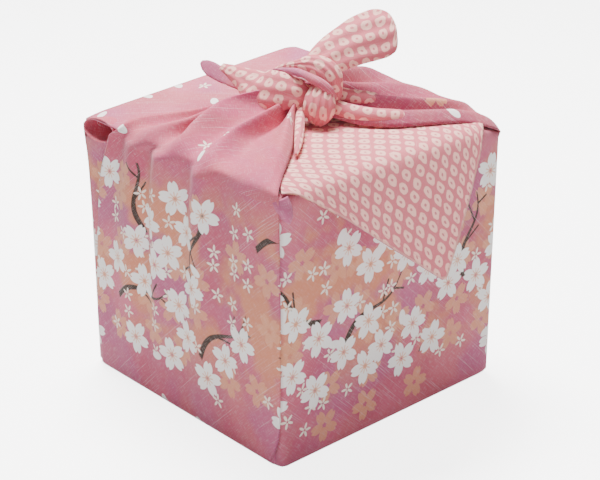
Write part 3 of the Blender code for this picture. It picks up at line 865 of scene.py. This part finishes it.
def finish_cotton(w, weave, colour, streaks, tint, height, strength):
    """Slub streaks over the colour, and matt cotton: rough, a little sheen, threads as bump."""
    shader = w.tree.nodes["Principled BSDF"]
    w.feed(shader.inputs["Base Color"], w.blend(w.times(weave["Streak"], streaks, clamp=True), colour, tint))
    bump = w.tree.nodes.new("ShaderNodeBump")
    bump.inputs["Strength"].default_value = strength
    bump.inputs["Distance"].default_value = 0.0003
    w.feed(bump.inputs["Height"], height)
    w.feed(shader.inputs["Normal"], bump.outputs[0])
    shader.inputs["Roughness"].default_value = 0.82
    shader.inputs["Sheen Weight"].default_value = 0.12
    shader.inputs["Sheen Roughness"].default_value = 0.5


def printed_side():
    """The outer print: pink slub ground with peach clouds, strewn blossoms, stars, petals, sprigs; painted
    shade on the strands.
    """
    material, w, place, weave = cotton("blossom print cotton")
    x, y = w.split(place)
    away = w.math("MAXIMUM", w.size(x), w.size(y))
    belt = w.times(w.soft(away, 108.0, 160.0), w.soft(away, 250.0, 218.0))
    patch = w.noise(place, 0.022, 3.0, 0.55)
    ground = w.blend(w.soft(w.noise(place, 0.014, 2.0), 0.35, 0.65), PINK, DEEP)
    shaded = w.soft(w.noise(w.vector("ADD", place, (90.0, -40.0, 0.0)), 0.013, 2.0), 0.44, 0.62)
    ground = w.blend(w.times(shaded, 0.6), ground, MAUVE)
    # Painted shade: the ground deepens over the gathered sides' tops and strands, from 200 mm out on the flat
    # cloth, for the shade of their folds.
    ground = w.blend(w.soft(w.size(x), 200.0, 280.0, 0.0, 0.55), ground, PAINTED_STRAND_SHADE)
    # Painted shade: a further darkening over the right side's top and strand, from 232 mm out on the flat
    # cloth.
    ground = w.blend(w.soft(x, 232.0, 280.0, 0.0, 0.85), ground, PAINTED_RIGHT_SHADE)
    cloud = w.times(w.soft(patch, 0.43, 0.58), w.math("MULTIPLY_ADD", belt, 0.85, 0.12))
    colour = w.blend(cloud, ground, PEACH)
    near = w.math("MULTIPLY_ADD", belt, 0.75, 0.1)

    def strewn(cell, loose, shift, chance, radius, slim, notch):
        spot = w.group(GROUPS["strewn"], Place=place, Cell=cell, Loose=loose, Shift=shift)
        shape = w.group(GROUPS["blossom"], Place=spot["Local"], Radius=radius, Slim=slim, Notch=notch)
        mx, my = w.split(spot["Middle"])
        far = w.math("MAXIMUM", w.size(mx), w.size(my))
        here = w.times(w.soft(far, 92.0, 130.0), w.soft(far, 240.0, 222.0))
        there = w.math("LESS_THAN", spot["Chance"], w.math("MULTIPLY_ADD", here, chance, 0.05))
        return w.times(shape["Petals"], there), w.times(shape["Stamens"], there)

    petals, stamens = strewn(26.0, 0.6, (7.0, 3.0, 0.0), 0.7, 10.5, 0.3, 1.0)
    colour = w.blend(w.times(petals, 0.8), colour, GHOST)
    spot = w.group(GROUPS["strewn"], Place=place, Cell=74.0, Loose=0.5, Shift=(20.0, 44.0, 0.0))
    stem = w.group(GROUPS["sprig"], Place=spot["Local"], Length=58.0)["Stem"]
    colour = w.blend(w.times(stem, w.math("LESS_THAN", spot["Chance"], near)), colour, BROWN)
    petals, stamens = strewn(14.0, 0.7, (3.0, 9.0, 0.0), 0.42, 4.6, 0.17, 0.0)
    colour = w.blend(petals, colour, CREAM)
    for shift, chance, radius in (((0.0, 0.0, 0.0), 0.62, 11.5), ((17.0, 15.0, 0.0), 0.5, 11.0)):
        petals, stamens = strewn(33.0, 0.45, shift, chance, radius, 0.31, 1.0)
        colour = w.blend(petals, colour, WHITE)
        colour = w.blend(w.times(stamens, 0.8), colour, STAMEN)
    spot = w.group(GROUPS["strewn"], Place=place, Cell=34.0, Loose=0.6, Shift=(27.0, 19.0, 0.0))
    px, py = w.split(spot["Local"])
    loose = w.soft(w.vector("LENGTH", w.join(w.over(px, 2.5), w.over(py, 4.8))), 1.06, 0.94)
    colour = w.blend(w.times(loose, w.math("LESS_THAN", spot["Chance"], 0.34)), colour, WHITE)
    finish_cotton(w, weave, colour, 0.52, shade(250, 232, 232), weave["Height"], 0.25)
    return material


def ringed_side():
    """The inner side: rose ground with cream shibori rings, and a stitched hem."""
    material, w, place, weave = cotton("shibori ring cotton")
    rings = w.group(GROUPS["rings"], Place=place, Pitch=8.9)
    mottle = w.noise(place, 0.35, 3.0)
    ring = w.times(rings["Ring"], w.soft(mottle, 0.2, 0.5, 0.75, 1.0))
    colour = w.blend(ring, ROSE, RING)
    colour = w.blend(w.times(rings["Dot"], 0.9), colour, ROSE_DOT)
    hem = w.tree.nodes.new("ShaderNodeAttribute")
    hem.attribute_name = "hem"
    stitch = w.soft(w.size(w.minus(hem.outputs["Fac"], HEM_FOLD)), 0.5, 0.2)
    fold = w.times(w.soft(hem.outputs["Fac"], 1.4, 0.9), w.math("GREATER_THAN", hem.outputs["Fac"], 0.001))
    colour = w.blend(w.times(stitch, 0.35), colour, ROSE_DOT)
    colour = w.blend(w.times(fold, 0.5), colour, RING)
    height = w.plus(weave["Height"], w.times(rings["Height"], 0.5))
    height = w.minus(height, w.times(stitch, 1.2))
    finish_cotton(w, weave, colour, 0.25, shade(250, 232, 228), height, 0.2)
    return material


GROUPS = {"blossom": blossom_group(), "strewn": scatter_group(), "slub": slub_group(),
          "rings": rings_group(), "sprig": sprig_group()}

# ---- the wrap ----

print_cotton, ring_cotton = printed_side(), ringed_side()
cloth = wrapping_cloth()
cloth.data.materials.append(print_cotton)
cloth.data.materials.append(ring_cotton)
ringed = [folded_band("knot_right_leaf", RIGHT_LEAF, (-0.55, -0.55, 0.63), pleats=0.5, count=3.0, curl=2.2),
          folded_band("knot_band", BAND, (-0.45, -0.6, 0.66), pleats=0.35, count=4.0, curl=1.2),
          folded_band("knot_left_tail", LEFT_TAIL, (-0.6, -0.62, 0.5), pleats=0.3, count=3.0, curl=1.4),
          folded_band("knot_loop", LOOP, pleats=0.7, count=5.0),
          folded_band("knot_middle_roll", MIDDLE_ROLL, (-0.3, -0.5, 0.8)),
          folded_band("knot_front_roll", FRONT_ROLL, (-0.3, -0.6, 0.75)),
          folded_band("knot_left_strip", LEFT_STRIP, (0.1, -0.5, 0.85), pleats=0.2, count=2.0)]
printed = [corner_pocket(), folded_band("corner_tuck", CORNER_TUCK, (-0.35, -0.93, 0.1), curl=1.6),
           folded_band("knot_band_hem", BAND_HEM, (-0.45, -0.75, 0.5)),
           folded_band("knot_left_tip", LEFT_TIP, (-0.5, -0.8, 0.3), curl=-0.8)]
printed[0].data.materials.append(print_cotton)            # the pocket's inner side
knot = ringed + printed
for piece in knot:
    piece.data.materials.append(ring_cotton if piece in ringed else print_cotton)
for piece in [cloth] + knot:
    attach(piece, "root")
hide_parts("furoshiki")

# ---- floor, light and camera ----

def pale_floor():
    """A wide flat floor of matt pale paper just below z = 0, which glows for the camera."""
    x, y = np.meshgrid(np.linspace(-3, 3, 3), np.linspace(-3, 3, 3))
    mesh = bpy.data.meshes.new("floor")
    points = np.stack([x, y, np.full_like(x, -0.0002)], axis=-1).reshape(-1, 3)
    mesh.from_pydata(points, [], quads(3, 3, 0).tolist())
    floor = bpy.data.objects.new("floor", mesh)
    bpy.context.scene.collection.objects.link(floor)
    paper = bpy.data.materials.new("floor paper")
    paper.use_nodes = True
    w, shader = Weaver(paper.node_tree), paper.node_tree.nodes["Principled BSDF"].inputs
    shader["Base Color"].default_value = (0.9, 0.9, 0.9, 1)
    shader["Roughness"].default_value = 0.9
    shader["Emission Color"].default_value = (1, 1, 1, 1)
    seen = w.tree.nodes.new("ShaderNodeLightPath")
    w.feed(shader["Emission Strength"], w.times(seen.outputs["Is Camera Ray"], 4.5))
    mesh.materials.append(paper)


def area_light(name, place, target, size, power, colour):
    """A square soft light at a place, facing a target."""
    data = bpy.data.lights.new(name, "AREA")
    data.shape = "SQUARE"
    data.size, data.energy, data.color = size, power, colour
    light = bpy.data.objects.new(name, data)
    light.location = place
    light.rotation_euler = (Vector(target) - Vector(place)).to_track_quat("-Z", "Y").to_euler()
    bpy.context.scene.collection.objects.link(light)


def studio():
    """Pale surroundings, a broad light above and one soft light for each visible side."""
    world = bpy.data.worlds.new("pale room")
    bpy.context.scene.world = world
    world.use_nodes = True
    background = world.node_tree.nodes["Background"]
    background.inputs[0].default_value = (1.0, 0.99, 0.98, 1)
    background.inputs[1].default_value = 0.22
    area_light("overhead light", (0.13, 0.34, 1.22), (0, 0, 0.12), 0.5, 47, (1.0, 0.99, 0.98))
    area_light("left light", (-0.85, -1.05, 0.45), (0, 0, 0.08), 0.6, 5.6, (0.92, 0.95, 1.0))
    area_light("right light", (0.8, -1.1, 0.5), (0, 0, 0.08), 0.7, 1.2, (1.0, 0.92, 0.85))


def camera():
    """A long lens from the front left, a little above."""
    az, el = math.radians(-42.25), math.radians(23.98)
    back = np.array([math.sin(az) * math.cos(el), -math.cos(az) * math.cos(el), math.sin(el)])
    data = bpy.data.cameras.new("camera")
    data.lens, data.sensor_width = 96.0, 36.0
    data.clip_start, data.clip_end = 0.05, 20
    view = bpy.data.objects.new("camera", data)
    right = np.array([math.cos(az), math.sin(az), 0.0])
    up = np.cross(back, right)
    view.location = np.array([0, 0, 0.083]) + right * 0.0056 + up * 0.00355 + back * 0.97144
    view.rotation_euler = Vector(-back).to_track_quat("-Z", "Y").to_euler()
    bpy.context.scene.collection.objects.link(view)
    bpy.context.scene.camera = view


pale_floor()
studio()
camera()

bpy.context.view_layer.update()
